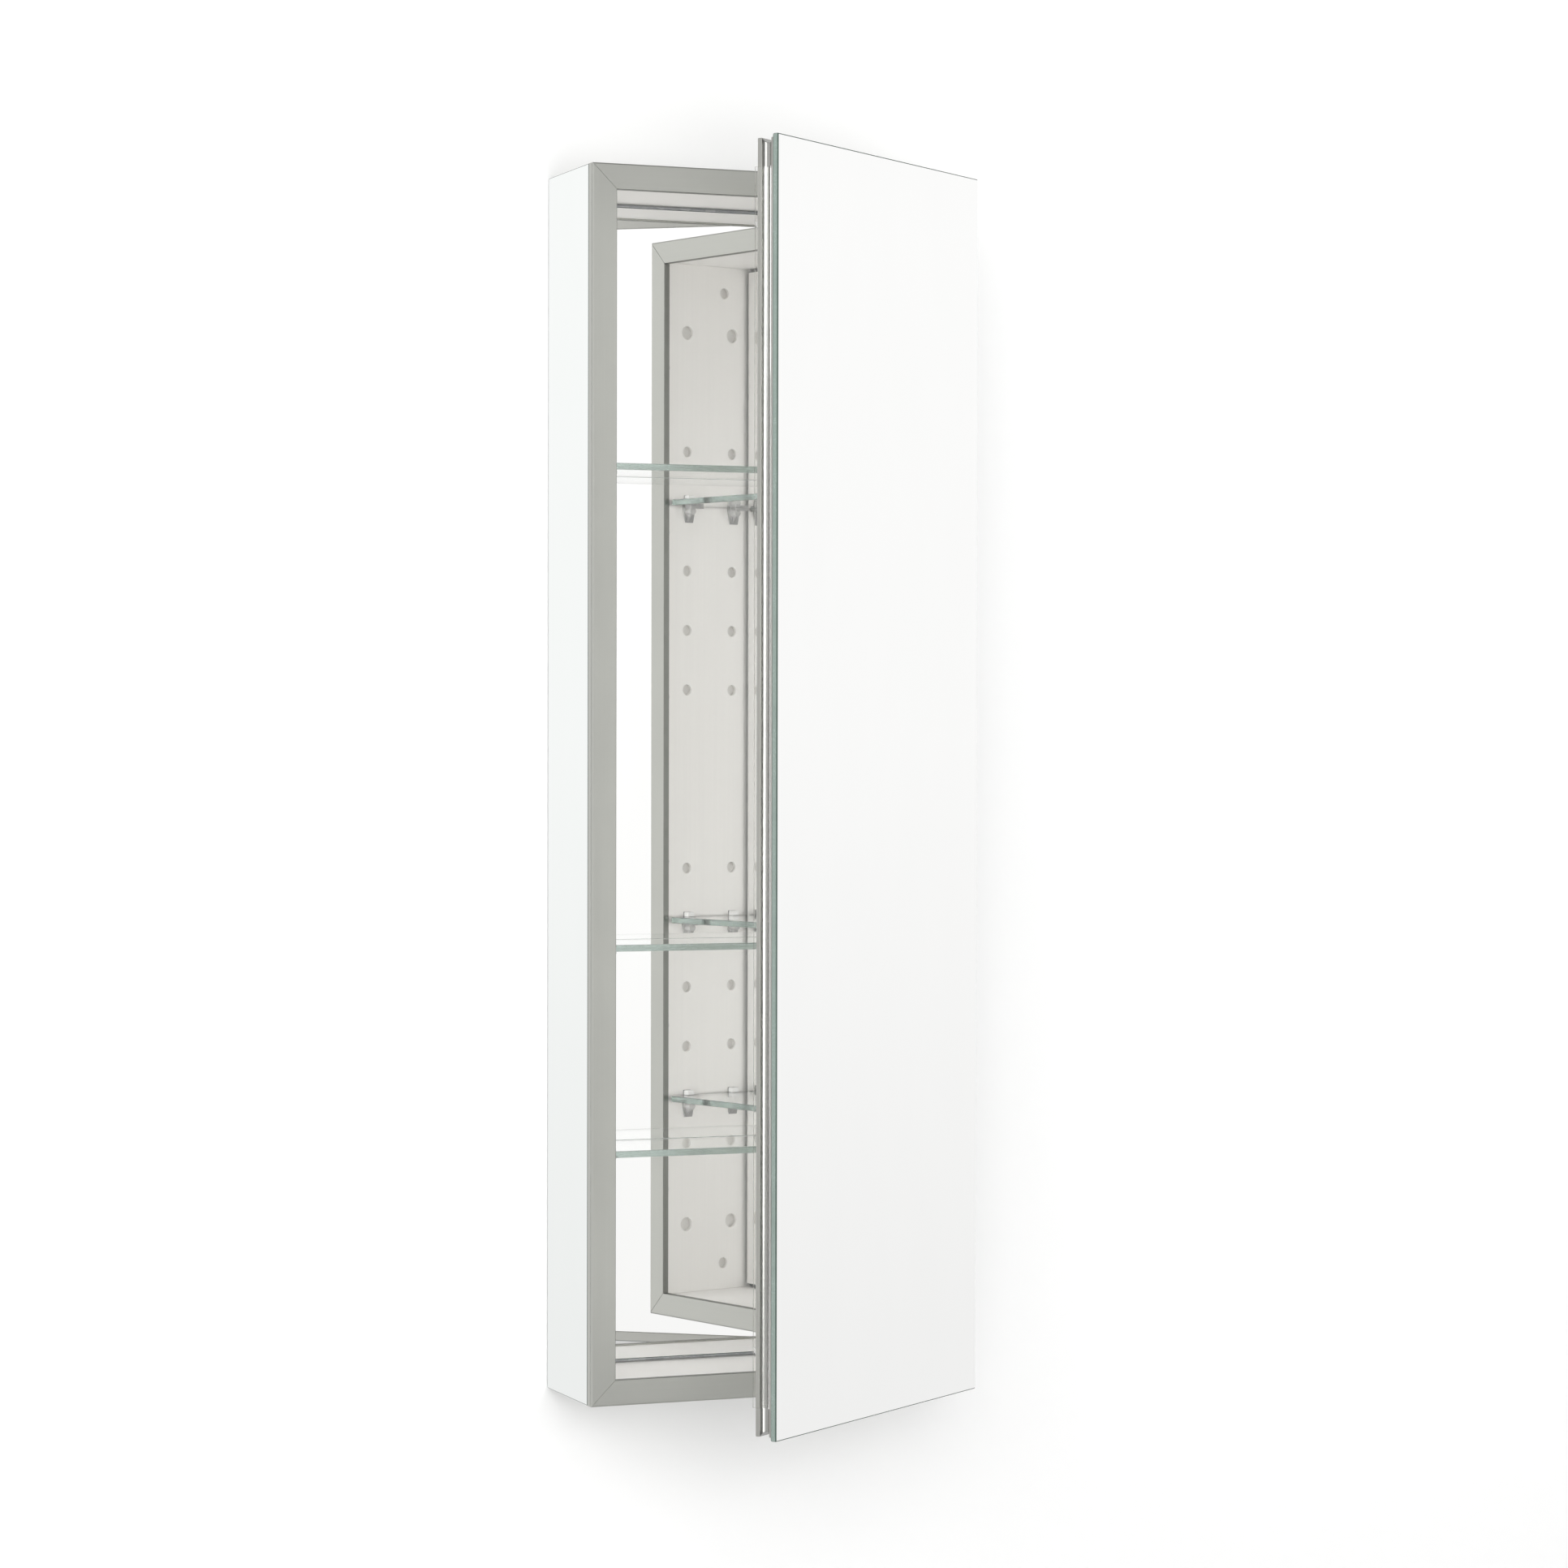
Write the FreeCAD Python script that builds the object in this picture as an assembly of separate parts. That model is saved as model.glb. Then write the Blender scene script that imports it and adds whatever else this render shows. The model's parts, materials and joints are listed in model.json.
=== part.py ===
import FreeCAD, Part
import math
import os
from FreeCAD import Vector

# Tall, narrow medicine cabinet for surface mounting: a mitred aluminium body with mirrored
# sides, a mitred face frame, a mirrored back, three glass shelves on clips, and one mirrored
# door on a full-height hinge. Millimetres. +X is to the viewer's right, +Y points to the wall
# and +Z is up. The origin is the middle of the back, on the wall plane.
#
# Two measures are used throughout:
#   inset  distance inwards from the outer edge of the cabinet (or of the door glass)
#   deep   distance towards the wall from the front plane of the face frame
# The door is drawn shut and then turned to the pose in which it is stored.

os.makedirs("parts", exist_ok=True)

# ---- driving dimensions -------------------------------------------------------------------
WIDTH = 288.9
HEIGHT = 914.4
DEPTH = 101.6
STORED_ANGLE = 36.8          # how far the door stands open in the stored pose, degrees

WALL_INSET = 15.8            # outer face of the body walls
WALL_THICK = 2.0
WALL_INNER = WALL_INSET + WALL_THICK
RIB_WIDTH = 10.0             # rib of the walls behind the back panel
FLANGE_INSET = 4.2           # outer edge of the walls' flange on the room's wall
FOLD_THICK = 1.5             # thickness of rib and flange
MITRE_GAP = 0.1              # half of the fine joint between two mitred members

FRAME_WIDTH = 19.05          # face of the frame round the opening
FRAME_THICK = 1.8
FRAME_RETURN = 5.4           # depth of the lip round the opening
FRAME_LIP = 1.2              # thickness of that lip
KEY_CHANNEL = (5.5, 13.7)    # insets of the channel behind the frame's face
OUTER_RIB_DEEP = 5.6
INNER_RIB_DEEP = 7.0
STRIKE_Z = (-300.0, 300.0)   # strike plates and door magnets

RIVET_R = 1.6
RIVET_HEAD_R = 2.5
RIVET_HEAD = 0.7
SIDE_RIVET_DEEP = 4.4
SIDE_RIVET_Z = [-350.0 + 140.0 * step for step in range(6)]
BACK_RIVET_INSET = WALL_INNER + 5.5
BACK_RIVET_Z = [-400.0 + 160.0 * step for step in range(6)]

MIRROR_THICK = 4.0
SIDE_MIRROR_FRONT = 9.4
SIDE_TRIM_FRONT = 3.4
BODY_BACK = DEPTH - 0.4      # side mirrors and covers stop just short of the wall
BACK_MIRROR_DEEP = 88.9      # mirror face behind the front plane
BACK_MIRROR_INSET = WALL_INNER + 2.6
TAPE_THICK = 1.0
BACK_PANEL_THICK = 1.2
BACK_PANEL_DEEP = BACK_MIRROR_DEEP + MIRROR_THICK + TAPE_THICK
BACK_PANEL_REAR = BACK_PANEL_DEEP + BACK_PANEL_THICK
SHEET = 1.2                  # covers, stiffener and hanging rails

RAIL_Z = 338.8               # height at which the cabinet hangs on the wall rail
HOOK_DEEP = 99.2             # front of the hanger rail's lower leg
WALL_LEG_DEEP = 97.6         # front of the wall rail's upper leg
HANGER_HALF = 105.0
WALL_RAIL_HALF = 120.0
WALL_SCREW_Z = 313.0
WALL_SCREW_SPACING = 203.2
WALL_SCREW_HOLE_R = 2.75

HOLE_PITCH = 50.8            # height step of the shelf holes
HOLE_STEPS = (1.5, 2.5, 3.5, 4.5, 5.5)
HOLE_COLUMNS = (25.5, 73.5)  # how deep the two columns of holes stand
SHELF_HOLE_R = 4.6
CAP_HOLE_Z = 381.0
CAP_HOLE_R = 5.9
SMALL_CAP_Z = 417.0
SMALL_CAP_DEEP = 65.0

SHELF_THICK = 5.0
SHELF_DEEP = (7.0, 87.0)
SHELF_END_GAP = 1.2          # glass end to wall
SHELF_CORNER_R = 3.0
SHELF_ABOVE_HOLE = 4.3       # underside of the glass over the hole's centre
SHELVES = {"top": 4.5, "middle": -2.5, "bottom": -5.5}   # height in hole pitches
CLIP_PLATE = 1.0
CLIP_REACH = 9.5
ARM_THICK = 2.2
PIN_DEPTH = 3.4
TAB_LIFT = 0.1               # soft tab over the glass

DOOR_GAP = 2.6               # shut door's frame to the face frame
DOOR_THICK = 18.4
DOOR_GLASS_THICK = 4.76
DOOR_TAPE_BACK = 5.6         # back of the tape that holds the front glass
DOOR_FRAME_INSET = 2.3
DOOR_FRAME_INNER = 21.0
DOOR_CHAMBER = (8.0, 19.4)   # insets of the door frame's hollow
CHAMBER_FRONT = 7.2
SLIM_CHAMBER_BACK = 10.6     # free stile and rails, under the inner mirror
BOX_CHAMBER_BACK = 16.8      # hinge stile
LEDGE_BACK = 12.0            # face of the ledge that carries the inner mirror
INNER_MIRROR_FACE = 17.0
INNER_MIRROR_INSET = 7.3
HINGE_MIRROR_INSET = DOOR_FRAME_INNER + 0.3   # the mirror's edge on the hinge side
DOOR_LIP_INSET = 9.8         # lip over the edge of the inner mirror
DOOR_LIP_FRONT = 17.2
MAGNET_CHANNEL = (3.2, 6.2, 15.6, 17.8)   # insets, then range behind the door's front face
GROOVE_R = 3.9               # finger groove round the door's edge
GROOVE_DEPTH = 3.3
GROOVE_MIDDLE = 10.95        # behind the door's front face
SEAL_THICK = 0.8
SEAL_END = 20.0              # the seal stops this far short of the frame's ends

HINGE_OUT = 2.9              # pin beyond the cabinet's side
HINGE_DEEP = -DOOR_GAP / 2
PIN_R = 1.2
PIN_CLEARANCE = 0.05
KNUCKLE_R = 2.6
KNUCKLE_PITCH = 20.0
KNUCKLE_GAP = 0.4
KNUCKLE_PAIRS = 22
LEAF_THICK = 1.0
LEAF_EDGE = 15.0             # inset of the leaves' long free edge
SCREW_INSET = 9.0
SCREW_Z = [-385.0 + 110.0 * step for step in range(8)]
SCREW_R = 1.5
SCREW_HEAD_R = 2.6

HALF_W = WIDTH / 2
HALF_H = HEIGHT / 2
HINGE_AXIS = Vector(HALF_W + HINGE_OUT, -DEPTH + HINGE_DEEP, 0)
UP = Vector(0, 0, 1)
BACKWARD = Vector(0, 1, 0)


# ---- helpers ------------------------------------------------------------------------------
def block(x_range, deep_range, z_range):
    """Box from ranges of x, deep and z."""
    size = [high - low for low, high in (x_range, deep_range, z_range)]
    corner = Vector(x_range[0], -DEPTH + deep_range[0], z_range[0])
    return Part.makeBox(size[0], size[1], size[2], corner)


def rod(radius, start, end):
    """Round bar between two points given as (x, deep, z)."""
    first = Vector(start[0], -DEPTH + start[1], start[2])
    last = Vector(end[0], -DEPTH + end[1], end[2])
    return Part.makeCylinder(radius, (last - first).Length, first, last - first)


def cone(radius_start, radius_end, start, end):
    """Cone between two points given as (x, deep, z)."""
    first = Vector(start[0], -DEPTH + start[1], start[2])
    last = Vector(end[0], -DEPTH + end[1], end[2])
    return Part.makeCone(radius_start, radius_end, (last - first).Length, first, last - first)


def outline(points, place):
    """Closed face through points; an item with two points is an arc through the first to
    the second. place turns a pair of numbers into a Vector."""
    edges = []
    start = place(*points[0])
    here = start
    for item in list(points[1:]) + [points[0]]:
        if isinstance(item[0], tuple):
            through, end = place(*item[0]), place(*item[1])
            edges.append(Part.Arc(here, through, end).toShape())
        else:
            end = place(*item)
            edges.append(Part.makeLine(here, end))
        here = end
    return Part.Face(Part.Wire(edges))


def mirrored(shape):
    """The same piece for the other side of the cabinet."""
    return shape.mirror(Vector(0, 0, 0), Vector(1, 0, 0))


def both_sides(shapes):
    return shapes + [mirrored(shape) for shape in shapes]


def group(shapes):
    """Separate equal pieces kept in one node."""
    return Part.makeCompound(shapes)


def mitred_ring(profile, hollows=()):
    """Four members with 45 degree ends, drawn from one profile of (inset, deep) points.
    Returns them as a dictionary with the keys left, top, right and bottom."""
    members = {}
    reach = 40.0
    for index, side in enumerate(("left", "top", "right", "bottom")):
        upright = side in ("left", "right")
        edge, half_length = (HALF_W, HALF_H) if upright else (HALF_H, HALF_W)

        def place(inset, deep):
            return Vector(inset - edge, -DEPTH + deep, -half_length - 1)

        section = outline(profile, place)
        for hollow in hollows:
            section = section.cut(outline(hollow, place))
        bar = section.extrude(UP * (2 * half_length + 2))
        end = half_length - MITRE_GAP * math.sqrt(2)
        corners = [
            (-edge - 1, end + 1),
            (-edge + reach, end - reach),
            (-edge + reach, -end + reach),
            (-edge - 1, -end - 1),
        ]
        wedge = outline(corners, lambda x, z: Vector(x, -2 * DEPTH, z))
        bar = bar.common(wedge.extrude(BACKWARD * (3 * DEPTH)))
        bar.rotate(Vector(0, 0, 0), BACKWARD, 90 * index)
        members[side] = bar
    return members


def corner_keys(arm, inset_range, deep_range):
    """Four flat L pieces that join mitred members at the corners."""
    low, high = inset_range
    keys = []
    for x_sign in (-1, 1):
        for z_sign in (-1, 1):
            upright = [x_sign * (HALF_W - high), x_sign * (HALF_W - low)]
            across = [x_sign * (HALF_W - low), x_sign * (HALF_W - low - arm)]
            level = [z_sign * (HALF_H - high), z_sign * (HALF_H - low)]
            along = [z_sign * (HALF_H - low), z_sign * (HALF_H - low - arm)]
            key = block(sorted(upright), deep_range, sorted(along))
            key = key.fuse(block(sorted(across), deep_range, sorted(level)))
            keys.append(key.removeSplitter())
    return group(keys)


def turn_door(shape):
    """From shut to the stored pose."""
    turned = shape.copy()
    turned.rotate(HINGE_AXIS, UP, STORED_ANGLE)
    return turned


# ---- body ---------------------------------------------------------------------------------
def make_walls():
    """Body walls: one extrusion with a rib for the back panel and a flange on the wall plane."""
    rib_back = BACK_PANEL_REAR + FOLD_THICK
    profile = [
        (WALL_INSET, FRAME_THICK),
        (WALL_INNER, FRAME_THICK),
        (WALL_INNER, BACK_PANEL_REAR),
        (WALL_INNER + RIB_WIDTH, BACK_PANEL_REAR),
        (WALL_INNER + RIB_WIDTH, rib_back),
        (WALL_INNER, rib_back),
        (WALL_INNER, DEPTH),
        (FLANGE_INSET, DEPTH),
        (FLANGE_INSET, DEPTH - FOLD_THICK),
        (WALL_INSET, DEPTH - FOLD_THICK),
    ]
    walls = mitred_ring(profile)
    holes = []
    outer, inner = -HALF_W + WALL_INSET - 1, -HALF_W + WALL_INNER + 1
    for radius, deep, z in wall_holes():
        holes.append(rod(radius, (outer, deep, z), (inner, deep, z)))
    left = walls["left"].cut(holes + side_rivet_shanks())
    walls["left"] = left
    walls["right"] = mirrored(left)
    return walls


def wall_holes():
    """Radius, deep and z of every hole in a side wall."""
    for z in shelf_hole_heights():
        for deep in HOLE_COLUMNS:
            yield SHELF_HOLE_R, deep, z
    for z in (-CAP_HOLE_Z, CAP_HOLE_Z):
        for deep in HOLE_COLUMNS:
            yield CAP_HOLE_R, deep, z
    for z in (-SMALL_CAP_Z, SMALL_CAP_Z):
        yield SHELF_HOLE_R, SMALL_CAP_DEEP, z


def shelf_hole_heights():
    return [sign * step * HOLE_PITCH for sign in (-1, 1) for step in HOLE_STEPS]


def blind_cup(radius, deep, z, rim=2.2, bore=1.8, floor=1.2):
    """Plastic cup behind a hole of the left wall, open towards the inside."""
    mouth = -HALF_W + WALL_INSET
    cup = rod(radius + rim, (mouth - bore - floor, deep, z), (mouth, deep, z))
    return cup.cut(rod(radius, (mouth - bore, deep, z), (mouth + 1, deep, z)))


def side_rivet_shanks():
    """Shanks of the rivets that hold the left stile to the left wall; their tails are set
    flush in the wall's inner face."""
    head, tail = -HALF_W + KEY_CHANNEL[1], -HALF_W + WALL_INNER
    shanks = []
    for z in SIDE_RIVET_Z:
        shank = rod(RIVET_R, (head, SIDE_RIVET_DEEP, z), (tail, SIDE_RIVET_DEEP, z))
        flare_from, flare_to = (tail - 1.0, SIDE_RIVET_DEEP, z), (tail, SIDE_RIVET_DEEP, z)
        shanks.append(shank.fuse(cone(RIVET_R, RIVET_HEAD_R, flare_from, flare_to)))
    return shanks


def make_frame_rivets():
    head = -HALF_W + KEY_CHANNEL[1]
    rivets = []
    for shank, z in zip(side_rivet_shanks(), SIDE_RIVET_Z):
        disc = rod(RIVET_HEAD_R, (head - RIVET_HEAD, SIDE_RIVET_DEEP, z), (head, SIDE_RIVET_DEEP, z))
        rivets.append(shank.fuse(disc).removeSplitter())
    return group(both_sides(rivets))


def make_corner_brackets():
    """Angles on the outside of the body's corners."""
    return corner_keys(17.5, (WALL_INSET - 1.5, WALL_INSET), (59.0, 80.0))


def make_back_panel_rivets():
    """Flat rivets through the back panel and the ribs of the side walls."""
    x = -HALF_W + BACK_RIVET_INSET
    front, back = BACK_PANEL_DEEP, BACK_PANEL_REAR + FOLD_THICK
    rivets = []
    for z in BACK_RIVET_Z:
        rivet = rod(RIVET_R, (x, front, z), (x, back, z))
        head = rod(RIVET_HEAD_R, (x, front - RIVET_HEAD, z), (x, front, z))
        tail = rod(RIVET_HEAD_R, (x, back, z), (x, back + RIVET_HEAD, z))
        rivets.append(rivet.fuse([head, tail]).removeSplitter())
    return group(both_sides(rivets))


def back_rivet_holes():
    x = -HALF_W + BACK_RIVET_INSET
    return both_sides([rod(RIVET_R, (x, BACK_MIRROR_DEEP, z), (x, DEPTH, z)) for z in BACK_RIVET_Z])


def make_back_panel():
    inset = WALL_INNER + 0.2
    panel = block(
        (-HALF_W + inset, HALF_W - inset),
        (BACK_PANEL_DEEP, BACK_PANEL_REAR),
        (-HALF_H + inset, HALF_H - inset),
    )
    return panel.cut(back_rivet_holes())


def make_back_mirror():
    inset = BACK_MIRROR_INSET
    return block(
        (-HALF_W + inset, HALF_W - inset),
        (BACK_MIRROR_DEEP, BACK_MIRROR_DEEP + MIRROR_THICK),
        (-HALF_H + inset, HALF_H - inset),
    )


def make_back_mirror_tape():
    front = BACK_MIRROR_DEEP + MIRROR_THICK
    half = HALF_W - BACK_MIRROR_INSET - 12.0
    strips = []
    for z in (-340.0, -170.0, 0.0, 170.0, 340.0):
        strips.append(block((-half, half), (front, front + TAPE_THICK), (z - 12.5, z + 12.5)))
    return group(strips)


def make_back_stiffener():
    """Hat section across the back: its middle bears on the wall."""
    front = BACK_PANEL_REAR
    crown, foot, brim = 12.0, 15.0, 30.0
    profile = [
        (-brim, front),
        (-foot, front),
        (-crown, DEPTH - SHEET),
        (crown, DEPTH - SHEET),
        (foot, front),
        (brim, front),
        (brim, front + SHEET),
        (foot + 1.0, front + SHEET),
        (crown + 1.0, DEPTH),
        (-crown - 1.0, DEPTH),
        (-foot - 1.0, front + SHEET),
        (-brim, front + SHEET),
    ]
    half = HALF_W - WALL_INNER - RIB_WIDTH - 2.0
    section = outline(profile, lambda z, deep: Vector(-half, -DEPTH + deep, z))
    return section.extrude(Vector(2 * half, 0, 0))


# ---- hanging rails ------------------------------------------------------------------------
def make_hanger_rail():
    """Z section on the back panel; its lower leg drops in behind the wall rail."""
    front = BACK_PANEL_REAR
    flange_top, leg_end = RAIL_Z + 20.0, RAIL_Z - 11.0
    profile = [
        (RAIL_Z, front),
        (flange_top, front),
        (flange_top, front + SHEET),
        (RAIL_Z + SHEET, front + SHEET),
        (RAIL_Z + SHEET, HOOK_DEEP + SHEET),
        (leg_end, HOOK_DEEP + SHEET),
        (leg_end, HOOK_DEEP),
        (RAIL_Z, HOOK_DEEP),
    ]
    section = outline(profile, lambda z, deep: Vector(-HANGER_HALF, -DEPTH + deep, z))
    return section.extrude(Vector(2 * HANGER_HALF, 0, 0))


def make_wall_rail():
    """Z section screwed to the wall; its upper leg carries the hanger rail."""
    web = RAIL_Z - 16.0
    flange_end = web - 20.0
    profile = [
        (flange_end, DEPTH),
        (flange_end, DEPTH - SHEET),
        (web - SHEET, DEPTH - SHEET),
        (web - SHEET, WALL_LEG_DEEP),
        (RAIL_Z, WALL_LEG_DEEP),
        (RAIL_Z, WALL_LEG_DEEP + SHEET),
        (web, WALL_LEG_DEEP + SHEET),
        (web, DEPTH),
    ]
    section = outline(profile, lambda z, deep: Vector(-WALL_RAIL_HALF, -DEPTH + deep, z))
    rail = section.extrude(Vector(2 * WALL_RAIL_HALF, 0, 0))
    for x in (-WALL_SCREW_SPACING / 2, WALL_SCREW_SPACING / 2):
        start, end = (x, WALL_LEG_DEEP, WALL_SCREW_Z), (x, DEPTH + 1, WALL_SCREW_Z)
        rail = rail.cut(rod(WALL_SCREW_HOLE_R, start, end))
    return rail


# ---- face frame ---------------------------------------------------------------------------
def make_face_frame():
    """Mitred face frame: bevelled face, lip round the opening and two ribs behind it."""
    low, high = KEY_CHANNEL
    profile = [
        (0.0, 0.9),
        (1.0, 0.0),
        (FRAME_WIDTH - 0.4, 0.0),
        (FRAME_WIDTH, 0.4),
        (FRAME_WIDTH, FRAME_RETURN),
        (FRAME_WIDTH - FRAME_LIP, FRAME_RETURN),
        (FRAME_WIDTH - FRAME_LIP, FRAME_THICK),
        (WALL_INSET, FRAME_THICK),
        (WALL_INSET, INNER_RIB_DEEP),
        (high, INNER_RIB_DEEP),
        (high, FRAME_THICK),
        (low, FRAME_THICK),
        (low, OUTER_RIB_DEEP),
        (low - FRAME_LIP, OUTER_RIB_DEEP),
        (low - FRAME_LIP, FRAME_THICK),
        (0.0, FRAME_THICK),
    ]
    frame = mitred_ring(profile)
    frame["left"] = frame["left"].cut(side_rivet_shanks())
    frame["right"] = frame["right"].cut([mirrored(shank) for shank in side_rivet_shanks()])
    frame["right"] = frame["right"].cut(cabinet_screw_holes())
    return frame


def make_frame_corner_keys():
    low, high = KEY_CHANNEL
    return corner_keys(32.0, (low + 0.1, high - 0.1), (FRAME_THICK, FRAME_THICK + 2.5))


def make_strike_plates():
    """Steel strips behind the left stile, opposite the door's magnets."""
    low, high = KEY_CHANNEL
    x_range = (-HALF_W + low + 0.2, -HALF_W + high - 0.2)
    plates = []
    for z in STRIKE_Z:
        plates.append(block(x_range, (FRAME_THICK, FRAME_THICK + 1.5), (z - 32.0, z + 32.0)))
    return group(plates)


# ---- mirrored sides and covers ------------------------------------------------------------
def make_side_mirror():
    return block(
        (-HALF_W, -HALF_W + MIRROR_THICK),
        (SIDE_MIRROR_FRONT, BODY_BACK),
        (-HALF_H, HALF_H),
    )


def make_side_trim():
    """Edge strip in front of the side mirror, with small bevels on its outer corners."""
    front, back, bevel = SIDE_TRIM_FRONT, SIDE_MIRROR_FRONT - 0.2, 0.3
    profile = [
        (bevel, front),
        (MIRROR_THICK, front),
        (MIRROR_THICK, back),
        (bevel, back),
        (0.0, back - bevel),
        (0.0, front + bevel),
    ]
    section = outline(profile, lambda inset, deep: Vector(inset - HALF_W, -DEPTH + deep, -HALF_H))
    return section.extrude(UP * HEIGHT)


def make_side_spacers():
    """Bars between the body wall and the side mirror."""
    x_range = (-HALF_W + MIRROR_THICK, -HALF_W + WALL_INSET)
    half = HALF_H - 36.0
    bars = []
    for deep_range in ((10.0, 17.0), (42.0, 57.0), (84.0, 98.0)):
        bars.append(block(x_range, deep_range, (-half, half)))
    return group(bars)


def make_end_cover(z_sign):
    """Folded sheet that closes the top or the bottom between the side mirrors."""
    fold = 10.0
    half = HALF_W - MIRROR_THICK - 0.3
    outer, inner = z_sign * HALF_H, z_sign * (HALF_H - SHEET)
    folded = z_sign * (HALF_H - fold)
    fold_back = DEPTH - 2.0
    cover = block((-half, half), (FRAME_THICK + 0.4, BODY_BACK), sorted((outer, inner)))
    flange = block((-half, -half + SHEET), (INNER_RIB_DEEP + 0.4, fold_back), sorted((outer, folded)))
    back = block((-half, half), (fold_back - SHEET, fold_back), sorted((outer, folded)))
    return cover.fuse([flange, mirrored(flange), back]).removeSplitter()


# ---- shelves ------------------------------------------------------------------------------
def shelf_hole_z(name):
    return SHELVES[name] * HOLE_PITCH


def make_shelf(name):
    half = HALF_W - WALL_INNER - SHELF_END_GAP
    bottom = shelf_hole_z(name) + SHELF_ABOVE_HOLE
    glass = block((-half, half), SHELF_DEEP, (bottom, bottom + SHELF_THICK))
    corners = [edge for edge in glass.Edges if abs(edge.tangentAt(edge.FirstParameter).z) > 0.9]
    glass = glass.makeFillet(SHELF_CORNER_R, corners)
    rims = [edge for edge in glass.Edges if abs(edge.CenterOfMass.z - bottom - SHELF_THICK / 2) > 1]
    return glass.makeChamfer(0.4, rims)


def make_clip(deep, hole_z):
    """Clear clip on the left wall: pin, back plate, arm under the glass and its gusset."""
    wall_x = -HALF_W + WALL_INNER
    tip_x = wall_x + CLIP_REACH
    top = SHELF_ABOVE_HOLE
    plate_outline = [
        (-5.6, top),
        (-3.5, top),
        (-3.5, top + SHELF_THICK + 4.2),
        (3.5, top + SHELF_THICK + 4.2),
        (3.5, top),
        (8.4, top),
        (5.5, top - 14.0),
        (-2.5, top - 14.0),
    ]

    def place(y_offset, z_offset):
        return Vector(wall_x, -DEPTH + deep + y_offset, hole_z + z_offset)

    plate = outline(plate_outline, place).extrude(Vector(CLIP_PLATE, 0, 0))
    arm_z = (hole_z + top - ARM_THICK, hole_z + top)
    arm = block((wall_x, tip_x), (deep - 3.0, deep + 10.5), arm_z)
    boss = rod(3.1, (wall_x, deep, hole_z), (tip_x - 1.0, deep, hole_z))
    pin = rod(SHELF_HOLE_R - 0.2, (wall_x - PIN_DEPTH, deep, hole_z), (wall_x, deep, hole_z))
    gusset_points = [
        (wall_x, hole_z + top),
        (tip_x, hole_z + top - ARM_THICK),
        (wall_x + CLIP_PLATE, hole_z + top - 13.0),
        (wall_x, hole_z + top - 13.0),
    ]
    gusset = outline(gusset_points, lambda x, z: Vector(x, -DEPTH + deep - 0.9, z))
    gusset = gusset.extrude(BACKWARD * 1.8)
    return plate.fuse([arm, boss, pin, gusset]).removeSplitter()


def make_clip_tab(deep, hole_z):
    """Soft tab that sits over the glass on the clip's plate."""
    start_x = -HALF_W + WALL_INNER + CLIP_PLATE
    low = hole_z + SHELF_ABOVE_HOLE + SHELF_THICK + TAB_LIFT
    tab = block((start_x, start_x + 5.5), (deep - 3.5, deep + 3.5), (low, low + 4.0))
    upright = [edge for edge in tab.Edges if edge.CenterOfMass.z > low + 3.9]
    return tab.makeFillet(1.0, upright)


def clips_for(name, make):
    hole_z = shelf_hole_z(name)
    return group(both_sides([make(deep, hole_z) for deep in HOLE_COLUMNS]))


# ---- door, drawn shut ---------------------------------------------------------------------
def door_deep(behind_face):
    """Deep value of a plane that lies behind the shut door's front face."""
    return behind_face - DOOR_THICK - DOOR_GAP


def hollow_section(low, high, front, back):
    """Rectangle from an inset range and a range behind the door's front face."""
    return [
        (low, door_deep(front)),
        (high, door_deep(front)),
        (high, door_deep(back)),
        (low, door_deep(back)),
    ]


def door_frame_section(inner_side, lip_inset):
    """Outline shared by all four members; inner_side is the part that faces the opening
    and lip_inset is where the back face ends."""
    corner = 0.4
    half_mouth = math.sqrt(GROOVE_R**2 - (GROOVE_R - GROOVE_DEPTH) ** 2)
    groove_bottom = DOOR_FRAME_INSET + GROOVE_DEPTH
    return [
        (DOOR_FRAME_INSET, door_deep(DOOR_TAPE_BACK)),
        (DOOR_FRAME_INNER, door_deep(DOOR_TAPE_BACK)),
        *[(inset, door_deep(behind)) for inset, behind in inner_side],
        (lip_inset, door_deep(DOOR_THICK - corner)),
        (lip_inset - corner, door_deep(DOOR_THICK)),
        (DOOR_FRAME_INSET + corner, door_deep(DOOR_THICK)),
        (DOOR_FRAME_INSET, door_deep(DOOR_THICK - corner)),
        (DOOR_FRAME_INSET, door_deep(GROOVE_MIDDLE + half_mouth)),
        (
            (groove_bottom, door_deep(GROOVE_MIDDLE)),
            (DOOR_FRAME_INSET, door_deep(GROOVE_MIDDLE - half_mouth)),
        ),
    ]


def make_door_frame():
    """Mitred frame with a finger groove outside. The free stile and the rails are slim, with
    a lip over the inner mirror; the hinge stile is a full box with a ledge for the mirror."""
    seat = INNER_MIRROR_INSET - 0.3
    slim = door_frame_section(
        [
            (DOOR_FRAME_INNER, LEDGE_BACK),
            (seat, LEDGE_BACK),
            (seat, DOOR_LIP_FRONT),
            (DOOR_LIP_INSET, DOOR_LIP_FRONT),
        ],
        DOOR_LIP_INSET,
    )
    ledge = DOOR_FRAME_INNER + 6.0
    box = door_frame_section(
        [
            (DOOR_FRAME_INNER, LEDGE_BACK - 1.2),
            (ledge, LEDGE_BACK - 1.2),
            (ledge, LEDGE_BACK),
            (DOOR_FRAME_INNER, LEDGE_BACK),
        ],
        DOOR_FRAME_INNER,
    )
    slim_hollow = hollow_section(*DOOR_CHAMBER, CHAMBER_FRONT, SLIM_CHAMBER_BACK)
    box_hollow = hollow_section(*DOOR_CHAMBER, CHAMBER_FRONT, BOX_CHAMBER_BACK)
    frame = mitred_ring(slim, [slim_hollow, hollow_section(*MAGNET_CHANNEL)])
    frame["right"] = mitred_ring(box, [box_hollow])["right"].cut(door_screw_holes())
    return frame


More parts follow.
